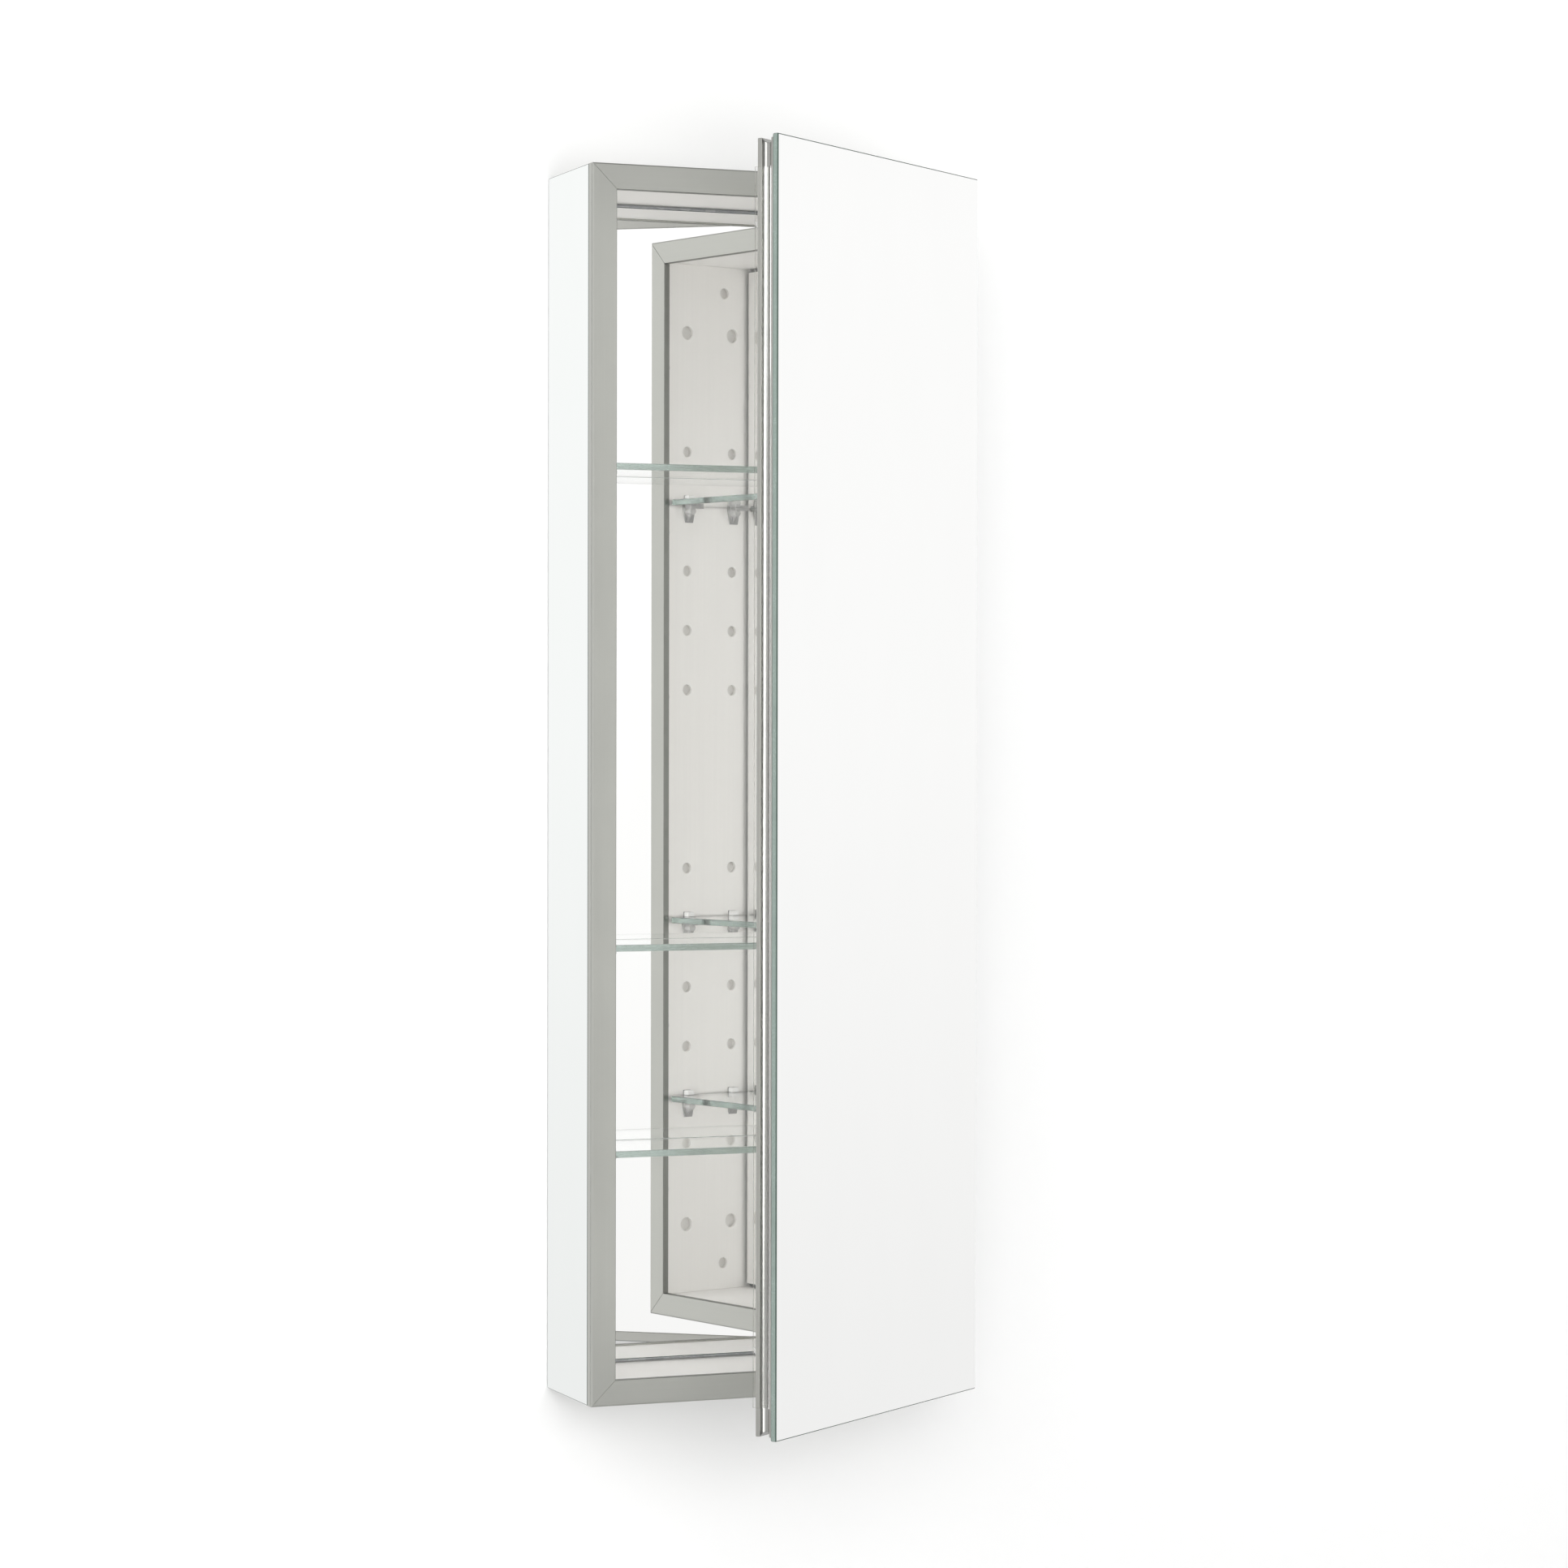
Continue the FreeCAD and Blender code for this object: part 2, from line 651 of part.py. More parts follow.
def make_door_corner_keys():
    low, high = DOOR_CHAMBER
    deep_range = (door_deep(CHAMBER_FRONT + 0.1), door_deep(SLIM_CHAMBER_BACK - 0.1))
    return corner_keys(38.0, (low + 0.1, high - 0.1), deep_range)


def make_door_glass():
    glass = block(
        (-HALF_W, HALF_W),
        (door_deep(0.0), door_deep(DOOR_GLASS_THICK)),
        (-HALF_H, HALF_H),
    )
    rims = [edge for edge in glass.Edges if abs(edge.CenterOfMass.y + DEPTH - door_deep(0.0)) < 0.1]
    return glass.makeChamfer(0.5, rims)


def make_door_inner_mirror():
    inset = INNER_MIRROR_INSET
    return block(
        (-HALF_W + inset, HALF_W - HINGE_MIRROR_INSET),
        (door_deep(INNER_MIRROR_FACE - MIRROR_THICK), door_deep(INNER_MIRROR_FACE)),
        (-HALF_H + inset, HALF_H - inset),
    )


def tape_ring(free_insets, hinge_insets, front, back):
    """Four strips of tape: one inset range for the hinge side, one for the other three."""
    low, high = free_insets
    hinge_low, hinge_high = hinge_insets
    deep_range = (door_deep(front), door_deep(back))
    full_z = (-HALF_H + low, HALF_H - low)
    strips = [
        block((-HALF_W + low, -HALF_W + high), deep_range, full_z),
        block((HALF_W - hinge_high, HALF_W - hinge_low), deep_range, full_z),
    ]
    for z_range in ((-HALF_H + low, -HALF_H + high), (HALF_H - high, HALF_H - low)):
        strips.append(block((-HALF_W + high, HALF_W - hinge_high), deep_range, z_range))
    return group(strips)


def make_door_edge_seal():
    """Clear strip that lines the free edge and its groove, with a fin towards the cabinet."""
    fit_gap = 0.1
    centre = DOOR_FRAME_INSET + GROOVE_DEPTH - GROOVE_R
    outer = DOOR_FRAME_INSET - fit_gap
    inner = outer - SEAL_THICK
    back_r = GROOVE_R - fit_gap
    face_r = back_r - SEAL_THICK
    back_half = math.sqrt(back_r**2 - (outer - centre) ** 2)
    face_half = math.sqrt(face_r**2 - (inner - centre) ** 2)
    fin = DOOR_THICK + 1.5
    foot = GROOVE_MIDDLE - back_half - 0.5
    profile = [
        (inner, door_deep(fin)),
        (inner, door_deep(GROOVE_MIDDLE + face_half)),
        (
            (centre + face_r, door_deep(GROOVE_MIDDLE)),
            (inner, door_deep(GROOVE_MIDDLE - face_half)),
        ),
        (inner, door_deep(foot)),
        (outer, door_deep(foot)),
        (outer, door_deep(GROOVE_MIDDLE - back_half)),
        (
            (centre + back_r, door_deep(GROOVE_MIDDLE)),
            (outer, door_deep(GROOVE_MIDDLE + back_half)),
        ),
        (outer, door_deep(fin)),
    ]
    half = HALF_H - DOOR_FRAME_INSET - SEAL_END
    section = outline(profile, lambda inset, deep: Vector(inset - HALF_W, -DEPTH + deep, -half))
    return section.extrude(UP * (2 * half))


def make_door_magnets():
    """Bar magnets in the channel of the free stile that lies next to the cabinet."""
    low, high, front, back = MAGNET_CHANNEL
    x_range = (-HALF_W + low + 0.1, -HALF_W + high - 0.1)
    deep_range = (door_deep(front + 0.1), door_deep(back - 0.1))
    return group([block(x_range, deep_range, (z - 25.0, z + 25.0)) for z in STRIKE_Z])


def make_door_bumpers():
    """Clear domes that keep the shut door off the face frame."""
    x = -HALF_W + (DOOR_FRAME_INSET + DOOR_LIP_INSET) / 2
    face = door_deep(DOOR_THICK)
    radius, skirt_height, height = 3.2, 1.2, 2.2
    bumpers = []
    for z in (-395.0, 395.0):
        skirt = rod(radius, (x, face, z), (x, face + skirt_height, z))
        top_r = radius - height + skirt_height
        dome = cone(radius, top_r, (x, face + skirt_height, z), (x, face + height, z))
        bumpers.append(skirt.fuse(dome))
    return group(bumpers)


# ---- hinge, drawn shut --------------------------------------------------------------------
def make_hinge_leaf(deep_range, first_knuckle):
    """Leaf and every second knuckle; first_knuckle is 0 or 1."""
    axis_x, axis_deep = HALF_W + HINGE_OUT, HINGE_DEEP
    half = KNUCKLE_PAIRS * KNUCKLE_PITCH
    notch_x = axis_x - KNUCKLE_R - 0.35
    leaf = block((HALF_W - LEAF_EDGE, notch_x), deep_range, (-half, half))
    pieces = []
    for index in range(first_knuckle, 2 * KNUCKLE_PAIRS, 2):
        low = -half + index * KNUCKLE_PITCH + KNUCKLE_GAP / 2
        high = low + KNUCKLE_PITCH - KNUCKLE_GAP
        pieces.append(block((notch_x, axis_x), deep_range, (low, high)))
        pieces.append(rod(KNUCKLE_R, (axis_x, axis_deep, low), (axis_x, axis_deep, high)))
    leaf = leaf.fuse(pieces).removeSplitter()
    bore = rod(PIN_R + PIN_CLEARANCE, (axis_x, axis_deep, -half - 1), (axis_x, axis_deep, half + 1))
    return leaf.cut(bore)


def make_hinge_pin():
    """Pin with a small head at each end, held by the cabinet's leaf."""
    x, deep = HALF_W + HINGE_OUT, HINGE_DEEP
    half = KNUCKLE_PAIRS * KNUCKLE_PITCH + 0.2
    pin = rod(PIN_R, (x, deep, -half), (x, deep, half))
    heads = []
    for sign in (-1, 1):
        heads.append(rod(KNUCKLE_R - 0.4, (x, deep, sign * half), (x, deep, sign * (half + 1.0))))
    return pin.fuse(heads).removeSplitter()


def flat_screw(z, deep, into):
    """Flat-head screw in a leaf; into is +1 into the cabinet and -1 into the door."""
    x = HALF_W - SCREW_INSET
    under_head = deep + into * LEAF_THICK
    head = cone(SCREW_HEAD_R, SCREW_R, (x, deep, z), (x, under_head, z))
    shank = rod(SCREW_R, (x, under_head, z), (x, under_head + into * 4.5, z))
    recess = rod(0.9, (x, deep - into * 0.1, z), (x, deep + into * 0.7, z))
    return head.fuse(shank).removeSplitter().cut(recess)


def countersinks(deep, into):
    """Room for the flat-head screws in a leaf."""
    x = HALF_W - SCREW_INSET
    end = deep + into * LEAF_THICK
    return [cone(SCREW_HEAD_R, SCREW_R, (x, deep, z), (x, end, z)) for z in SCREW_Z]


def cabinet_screw_holes():
    x = HALF_W - SCREW_INSET
    return [rod(SCREW_R, (x, -1.0, z), (x, 6.0, z)) for z in SCREW_Z]


def door_screw_holes():
    x = HALF_W - SCREW_INSET
    start, end = door_deep(DOOR_THICK + 1), door_deep(LEDGE_BACK)
    return [rod(SCREW_R, (x, start, z), (x, end, z)) for z in SCREW_Z]


# ---- the whole cabinet --------------------------------------------------------------------
def cabinet_nodes():
    nodes = {}
    for side, wall in make_walls().items():
        nodes[f"{side}_wall"] = wall.cut(back_rivet_holes())
    nodes["corner_brackets"] = make_corner_brackets()
    nodes["back_panel"] = make_back_panel()
    nodes["back_panel_rivets"] = make_back_panel_rivets()
    nodes["back_stiffener"] = make_back_stiffener()
    nodes["back_mirror"] = make_back_mirror()
    nodes["back_mirror_tape"] = make_back_mirror_tape()
    nodes["hanger_rail"] = make_hanger_rail()
    nodes["wall_rail"] = make_wall_rail()

    frame = make_face_frame()
    nodes["frame_stile_left"] = frame["left"]
    nodes["frame_stile_right"] = frame["right"]
    nodes["frame_rail_top"] = frame["top"]
    nodes["frame_rail_bottom"] = frame["bottom"]
    nodes["frame_corner_keys"] = make_frame_corner_keys()
    nodes["frame_rivets"] = make_frame_rivets()
    nodes["strike_plates"] = make_strike_plates()

    cups = [blind_cup(SHELF_HOLE_R, deep, z) for z in shelf_hole_heights() for deep in HOLE_COLUMNS]
    caps = []
    for z in (-CAP_HOLE_Z, CAP_HOLE_Z):
        caps += [blind_cup(CAP_HOLE_R, deep, z) for deep in HOLE_COLUMNS]
    for z in (-SMALL_CAP_Z, SMALL_CAP_Z):
        caps.append(blind_cup(SHELF_HOLE_R, SMALL_CAP_DEEP, z))
    left_only = {
        "side_mirror": make_side_mirror(),
        "side_trim": make_side_trim(),
        "side_spacers": make_side_spacers(),
        "shelf_sockets": group(cups),
        "side_hole_caps": group(caps),
    }
    for name, shape in left_only.items():
        nodes[f"{name}_left"] = shape
        nodes[f"{name}_right"] = mirrored(shape)
    nodes["top_cover"] = make_end_cover(1)
    nodes["bottom_cover"] = make_end_cover(-1)

    for name in SHELVES:
        nodes[f"shelf_{name}"] = make_shelf(name)
        nodes[f"shelf_clips_{name}"] = clips_for(name, make_clip)
        nodes[f"clip_tabs_{name}"] = clips_for(name, make_clip_tab)

    leaf = make_hinge_leaf((-LEAF_THICK, 0.0), 0)
    nodes["hinge_leaf_cabinet"] = leaf.cut(countersinks(-LEAF_THICK, 1))
    nodes["hinge_pin"] = make_hinge_pin()
    nodes["hinge_screws_cabinet"] = group([flat_screw(z, -LEAF_THICK, 1) for z in SCREW_Z])
    return nodes


def door_nodes():
    nodes = {}
    frame = make_door_frame()
    nodes["door_stile_free"] = frame["left"]
    nodes["door_stile_hinge"] = frame["right"]
    nodes["door_rail_top"] = frame["top"]
    nodes["door_rail_bottom"] = frame["bottom"]
    nodes["door_corner_keys"] = make_door_corner_keys()
    nodes["door_glass"] = make_door_glass()
    nodes["door_glass_tape"] = tape_ring((4, 19), (4, 19), DOOR_GLASS_THICK, DOOR_TAPE_BACK)
    nodes["door_inner_mirror"] = make_door_inner_mirror()
    mirror_back = INNER_MIRROR_FACE - MIRROR_THICK
    nodes["inner_mirror_tape"] = tape_ring((8.5, 20.0), (21.6, 26.8), LEDGE_BACK, mirror_back)
    nodes["door_edge_seal"] = make_door_edge_seal()
    nodes["door_magnets"] = make_door_magnets()
    nodes["door_bumpers"] = make_door_bumpers()

    face = door_deep(DOOR_THICK)
    leaf = make_hinge_leaf((face, face + LEAF_THICK), 1)
    nodes["hinge_leaf_door"] = leaf.cut(countersinks(face + LEAF_THICK, -1))
    nodes["hinge_screws_door"] = group([flat_screw(z, face + LEAF_THICK, -1) for z in SCREW_Z])
    return {name: turn_door(shape) for name, shape in nodes.items()}


for node, shape in {**cabinet_nodes(), **door_nodes()}.items():
    shape.exportStep(f"parts/{node}.step")
    print(node, len(shape.Solids), "solids", round(shape.Volume), "mm3", shape.isValid())
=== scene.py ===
import json
import math

import bmesh
import bpy
from mathutils import Matrix, Vector

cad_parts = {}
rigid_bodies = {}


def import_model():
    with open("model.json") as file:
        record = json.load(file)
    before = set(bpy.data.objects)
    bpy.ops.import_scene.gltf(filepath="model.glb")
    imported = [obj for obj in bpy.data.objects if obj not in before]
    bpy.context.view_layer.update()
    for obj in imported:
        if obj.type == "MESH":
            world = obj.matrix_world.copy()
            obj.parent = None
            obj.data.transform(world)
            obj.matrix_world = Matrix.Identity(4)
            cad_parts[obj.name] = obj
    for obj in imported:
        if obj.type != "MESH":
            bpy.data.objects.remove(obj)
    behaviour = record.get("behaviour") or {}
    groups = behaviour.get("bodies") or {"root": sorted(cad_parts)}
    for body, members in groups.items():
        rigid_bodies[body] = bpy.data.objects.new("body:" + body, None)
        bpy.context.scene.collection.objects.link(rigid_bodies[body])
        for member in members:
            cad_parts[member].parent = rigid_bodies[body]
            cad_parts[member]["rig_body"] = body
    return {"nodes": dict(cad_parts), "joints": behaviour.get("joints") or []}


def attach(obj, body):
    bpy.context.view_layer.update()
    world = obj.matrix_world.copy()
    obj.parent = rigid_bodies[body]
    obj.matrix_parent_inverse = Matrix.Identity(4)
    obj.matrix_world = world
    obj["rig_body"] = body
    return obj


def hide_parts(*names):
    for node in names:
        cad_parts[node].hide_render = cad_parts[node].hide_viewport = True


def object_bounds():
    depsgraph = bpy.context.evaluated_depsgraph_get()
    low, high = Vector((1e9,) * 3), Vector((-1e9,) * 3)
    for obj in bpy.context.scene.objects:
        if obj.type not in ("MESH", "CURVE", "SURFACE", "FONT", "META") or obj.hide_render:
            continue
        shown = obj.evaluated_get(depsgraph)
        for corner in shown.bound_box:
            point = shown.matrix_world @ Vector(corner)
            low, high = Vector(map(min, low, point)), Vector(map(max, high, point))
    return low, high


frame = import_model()

cad_low, cad_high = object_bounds()

# Metres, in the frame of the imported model. Pieces on the door are drawn with the door shut and
# then turned about the hinge into the stored pose.
MM = 0.001
HINGE = next(joint for joint in frame["joints"] if joint["child"] == "door")
PIVOT = Vector(HINGE["pos_m"])
STORED_TURN = -math.radians(HINGE["range_deg"][0])
DOOR_TURN = (
    Matrix.Translation(PIVOT) @ Matrix.Rotation(STORED_TURN, 4, "Z") @ Matrix.Translation(-PIVOT)
)

# Where some faces have a finish or a painted shade of their own, from the outline of the glass.
GROOVE_INSETS = (2.5 * MM, 5.8 * MM)    # finger groove round the door frame
GROOVE_BACK = 15.0 * MM                 # its far side, behind the front of the glass
LIP_INSET = 18.62 * MM                  # lip round the opening of the face frame

# Widths of the rounded or ground edges.
SEAL_EDGE = 0.08 * MM
STAMPED_EDGE = 0.1 * MM
TRIM_EDGE = 0.12 * MM
FRAME_EDGE = 0.15 * MM
WALL_EDGE = 0.2 * MM
SHEET_EDGE = 0.25 * MM
CLIP_EDGE = 0.2 * MM
MOULDED_EDGE = 0.3 * MM
MIRROR_ARRIS = 0.5 * MM
DOOR_ARRIS = 0.8 * MM
SHELF_ARRIS = 0.7 * MM
SHELF_CORNER = 3.0 * MM

# ---- camera and stage -----------------------------------------------------------------------
CAMERA_PLACE = (-1.1642, -3.0379, 0.0358)
CAMERA_TURN = 21.75          # degrees to the right of straight on
CAMERA_DROP = 0.633          # degrees below the horizon
CAMERA_ROLL = 0.1            # degrees
CAMERA_LENS = 97.13          # mm
CAMERA_SENSOR = 36.0         # mm, the width
CAMERA_CLIPS = (0.05, 60.0)
FLOOR_DROP = 0.32            # floor below the lowest point of the cabinet
WALL_CLEAR = 0.5 * MM        # wall behind the cabinet's back
STAGE_HALF = 5.0             # half the width of floor and wall
FLOOR_SHADE = 0.8
WALL_SHADE = 0.82
# Name, place, width and watts of each lamp.
SOFTBOXES = (
    ("front_softbox", (-0.2, -3.4, 0.1), 1.6, 34.0),
    ("left_softbox", (-2.2, -2.0, 1.2), 1.4, 10.0),
)
# Brightness of the studio. The turn goes once round from 0 through 1: 0.25 is the front (-Y),
# 0.5 the right (+X) and 0.75 behind the wall (+Y). The height goes from 0, down, to 1, up.
STUDIO_BY_TURN = (
    (0.0, 0.75),
    (0.04, 0.75),
    (0.075, 1.1),
    (0.14, 1.0),
    (0.25, 0.75),
    (0.36, 0.7),
    (0.47, 1.0),
    (0.84, 1.0),
    (0.87, 1.1),
    (0.94, 1.1),
    (1.0, 0.75),
)
STUDIO_BY_HEIGHT = (
    (0.0, 0.6),
    (0.43, 0.9),
    (0.5, 0.98),
    (0.56, 1.0),
    (0.75, 0.9),
    (1.0, 0.35),
)
# Large bright panel at the front left, on top of that.
PANEL_BY_TURN = ((0.145, 0.0), (0.165, 1.0), (0.235, 1.0), (0.25, 0.0))
PANEL_BY_HEIGHT = ((0.2, 0.0), (0.3, 1.0), (0.75, 1.0), (0.85, 0.0))
PANEL_BRIGHTNESS = 2.2
STUDIO_TINT = (1.0, 1.0, 0.995, 1.0)
# Bounces of light: mirrors face each other in the cabinet, so it takes many turns there.
ALL_BOUNCES = 24
MIRROR_BOUNCES = 20
MATT_BOUNCES = 6


def add_camera():
    data = bpy.data.cameras.new("camera")
    data.lens = CAMERA_LENS
    data.sensor_width = CAMERA_SENSOR
    data.clip_start, data.clip_end = CAMERA_CLIPS
    camera = bpy.data.objects.new("camera", data)
    bpy.context.scene.collection.objects.link(camera)
    camera.location = CAMERA_PLACE
    aim = Matrix.Rotation(math.radians(-CAMERA_TURN), 4, "Z")
    aim @= Matrix.Rotation(math.radians(90.0 - CAMERA_DROP), 4, "X")
    aim @= Matrix.Rotation(math.radians(CAMERA_ROLL), 4, "Z")
    camera.rotation_euler = aim.to_euler()
    bpy.context.scene.camera = camera


def add_plane(name, corners, shade):
    """Stage plane that is seen only from its front, so that views from behind stay open."""
    mesh = bpy.data.meshes.new(name)
    mesh.from_pydata(corners, [], [(0, 1, 2, 3)])
    plane = bpy.data.objects.new(name, mesh)
    bpy.context.scene.collection.objects.link(plane)
    material = bpy.data.materials.new(name)
    material.use_nodes = True
    tree = material.node_tree
    tree.nodes.clear()
    output = tree.nodes.new("ShaderNodeOutputMaterial")
    matt = tree.nodes.new("ShaderNodeBsdfDiffuse")
    matt.inputs["Color"].default_value = (shade, shade, shade, 1.0)
    clear = tree.nodes.new("ShaderNodeBsdfTransparent")
    side = tree.nodes.new("ShaderNodeNewGeometry")
    mix = tree.nodes.new("ShaderNodeMixShader")
    tree.links.new(side.outputs["Backfacing"], mix.inputs[0])
    tree.links.new(matt.outputs[0], mix.inputs[1])
    tree.links.new(clear.outputs[0], mix.inputs[2])
    tree.links.new(mix.outputs[0], output.inputs["Surface"])
    mesh.materials.append(material)
    plane.visible_glossy = False


def add_stage():
    floor = cad_low.z - FLOOR_DROP
    half = STAGE_HALF
    add_plane(
        "studio_floor",
        [(-half, -half, floor), (half, -half, floor), (half, half, floor), (-half, half, floor)],
        FLOOR_SHADE,
    )
    back = cad_high.y + WALL_CLEAR
    add_plane(
        "studio_wall",
        [(-half, back, floor), (half, back, floor), (half, back, half), (-half, back, half)],
        WALL_SHADE,
    )


def add_softbox(name, place, size, power):
    """Square lamp that looks at the cabinet and doesn't show in its mirrors."""
    data = bpy.data.lights.new(name, "AREA")
    data.shape = "SQUARE"
    data.size = size
    data.energy = power
    lamp = bpy.data.objects.new(name, data)
    bpy.context.scene.collection.objects.link(lamp)
    lamp.location = place
    lamp.rotation_euler = (-Vector(place)).to_track_quat("-Z", "Y").to_euler()
    lamp.visible_glossy = False
    lamp.visible_camera = False


def brightness(tree, value, stops):
    """Grey value that follows (position, grey) stops along a value from 0 to 1."""
    node = tree.nodes.new("ShaderNodeValToRGB")
    bands = node.color_ramp.elements
    while len(bands) < len(stops):
        bands.new(0.5)
    for band, (position, grey) in zip(bands, stops):
        band.position = position
        band.color = (grey, grey, grey, 1.0)
    tree.links.new(value, node.inputs["Fac"])
    return node.outputs["Color"]


def compute(tree, operation, first, second):
    """Result of a sum or product; the second operand may be a plain number."""
    node = tree.nodes.new("ShaderNodeMath")
    node.operation = operation
    tree.links.new(first, node.inputs[0])
    if isinstance(second, float):
        node.inputs[1].default_value = second
    else:
        tree.links.new(second, node.inputs[1])
    return node.outputs[0]


def add_world():
    """White studio: its brightness goes by the turn about the cabinet and by the height, and
    the bright panel gives the highlight in the door's finger groove."""
    world = bpy.data.worlds.new("studio")
    bpy.context.scene.world = world
    world.use_nodes = True
    tree = world.node_tree
    tree.nodes.clear()
    output = tree.nodes.new("ShaderNodeOutputWorld")
    sky = tree.nodes.new("ShaderNodeBackground")
    direction = tree.nodes.new("ShaderNodeTexCoord")
    around = tree.nodes.new("ShaderNodeTexGradient")
    around.gradient_type = "RADIAL"
    split = tree.nodes.new("ShaderNodeSeparateXYZ")
    tree.links.new(direction.outputs["Generated"], around.inputs["Vector"])
    tree.links.new(direction.outputs["Generated"], split.inputs[0])
    upward = compute(tree, "MULTIPLY", split.outputs["Z"], 0.5)
    upward = compute(tree, "ADD", upward, 0.5)
    turn = around.outputs["Fac"]
    walls = brightness(tree, turn, STUDIO_BY_TURN)
    heights = brightness(tree, upward, STUDIO_BY_HEIGHT)
    panel = compute(
        tree,
        "MULTIPLY",
        brightness(tree, turn, PANEL_BY_TURN),
        brightness(tree, upward, PANEL_BY_HEIGHT),
    )
    panel = compute(tree, "MULTIPLY", panel, PANEL_BRIGHTNESS)
    room = compute(tree, "MULTIPLY", walls, heights)
    sky.inputs["Color"].default_value = STUDIO_TINT
    tree.links.new(compute(tree, "ADD", room, panel), sky.inputs["Strength"])
    tree.links.new(sky.outputs[0], output.inputs["Surface"])


# ---- materials ------------------------------------------------------------------------------
UPRIGHT = (1.0, 1.0, 0.01)   # noise stretch that draws grain along Z
LEVEL = (0.01, 1.0, 1.0)     # and along X
EVEN = (1.0, 1.0, 1.0)
WIPED = (1.0, 1.0, 0.35)     # long upright wipe marks
NOISE_RANGE = (0.25, 0.75)   # between these lies nearly all of a noise's value
SMEAR_SCALE = 55.0           # smears per metre
GLASS_IOR = 1.52
CLEAR_PLASTIC_IOR = 1.49
SOFT_SEAL_IOR = 1.15         # low, so that the thin seal hardly bends what lies behind it
COATED_SHEEN = 0.15          # metallic part of the light coating inside the cabinet
FULL_COAT = 0.6              # coat of a smooth ground edge
MILKY_CLEAR = 0.6            # transmission of moulded clear plastic
SHELF_DEPTH_COLOUR = (0.47, 0.60, 0.545, 1.0)
SHELF_DEPTH_DENSITY = 8.0    # per metre
SHELF_EDGE_ROUGHNESS = 0.2
SHELF_EDGE_TO_FACE = (0.8, 0.9)     # square of the normal's Z, from edge to upper or lower face


def new_material(name):
    """Material with one Principled shader: the material, its node tree and the shader."""
    material = bpy.data.materials.new(name)
    material.use_nodes = True
    tree = material.node_tree
    tree.nodes.clear()
    output = tree.nodes.new("ShaderNodeOutputMaterial")
    shader = tree.nodes.new("ShaderNodeBsdfPrincipled")
    tree.links.new(shader.outputs["BSDF"], output.inputs["Surface"])
    return material, tree, shader


def noise(tree, scale, detail, stretch=EVEN):
    """Noise value in the piece's own metres; scale is in spots per metre."""
    place = tree.nodes.new("ShaderNodeTexCoord")
    spread = tree.nodes.new("ShaderNodeMapping")
    spread.inputs["Scale"].default_value = stretch
    texture = tree.nodes.new("ShaderNodeTexNoise")
    texture.inputs["Scale"].default_value = scale
    texture.inputs["Detail"].default_value = detail
    tree.links.new(place.outputs["Object"], spread.inputs["Vector"])
    tree.links.new(spread.outputs["Vector"], texture.inputs["Vector"])
    return texture.outputs["Fac"]


def between(tree, value, low, high, source=NOISE_RANGE):
    """Value from its source range, which is a noise's usual one, onto low to high."""
    node = tree.nodes.new("ShaderNodeMapRange")
    node.inputs["From Min"].default_value = source[0]
    node.inputs["From Max"].default_value = source[1]
    node.inputs["To Min"].default_value = low
    node.inputs["To Max"].default_value = high
    tree.links.new(value, node.inputs["Value"])
    return node.outputs["Result"]


def tinted(tree, value, dark, light):
    """Colour that goes from dark to light over a noise's usual range."""
    node = tree.nodes.new("ShaderNodeValToRGB")
    for end, position, colour in zip(node.color_ramp.elements, NOISE_RANGE, (dark, light)):
        end.position = position
        end.color = (*colour, 1.0)
    tree.links.new(value, node.inputs["Fac"])
    return node.outputs["Color"]


def average(tree, first, second):
    """Mean of two values."""
    return compute(tree, "MULTIPLY", compute(tree, "ADD", first, second), 0.5)


def relief(tree, shader, height, depth):
    """Bump of a given depth in metres."""
    node = tree.nodes.new("ShaderNodeBump")
    node.inputs["Distance"].default_value = depth
    node.inputs["Strength"].default_value = 1.0
    tree.links.new(height, node.inputs["Height"])
    tree.links.new(node.outputs["Normal"], shader.inputs["Normal"])


def shades(colour, spread):
    """A darker and a lighter version of a colour."""
    return [tuple(channel * factor for channel in colour) for factor in (1 - spread, 1 + spread)]


def metal(name, colour, grain, rough, spread=0.03, fineness=700.0):
    """Satin metal with fine drawn lines along its grain and slow changes of tone. rough is its
    middle roughness, spread its change of tone and fineness its lines per metre."""
    material, tree, shader = new_material(name)
    lines = noise(tree, fineness, 4.0, grain)
    clouds = noise(tree, 9.0, 2.0)
    mixed = average(tree, lines, clouds)
    tree.links.new(tinted(tree, mixed, *shades(colour, spread)), shader.inputs["Base Color"])
    tree.links.new(between(tree, mixed, rough - 0.05, rough + 0.05), shader.inputs["Roughness"])
    shader.inputs["Metallic"].default_value = 1.0
    relief(tree, shader, lines, 0.012 * MM)
    return material


def coated_metal(name, colour, grain):
    """Light matt coating over extruded metal: a soft sheen and a faint drawn grain."""
    material, tree, shader = new_material(name)
    lines = noise(tree, 500.0, 3.0, grain)
    clouds = noise(tree, 14.0, 3.0)
    mixed = average(tree, lines, clouds)
    tree.links.new(tinted(tree, mixed, *shades(colour, 0.025)), shader.inputs["Base Color"])
    tree.links.new(between(tree, mixed, 0.42, 0.54), shader.inputs["Roughness"])
    shader.inputs["Metallic"].default_value = COATED_SHEEN
    relief(tree, shader, noise(tree, 1800.0, 2.0), 0.01 * MM)
    return material


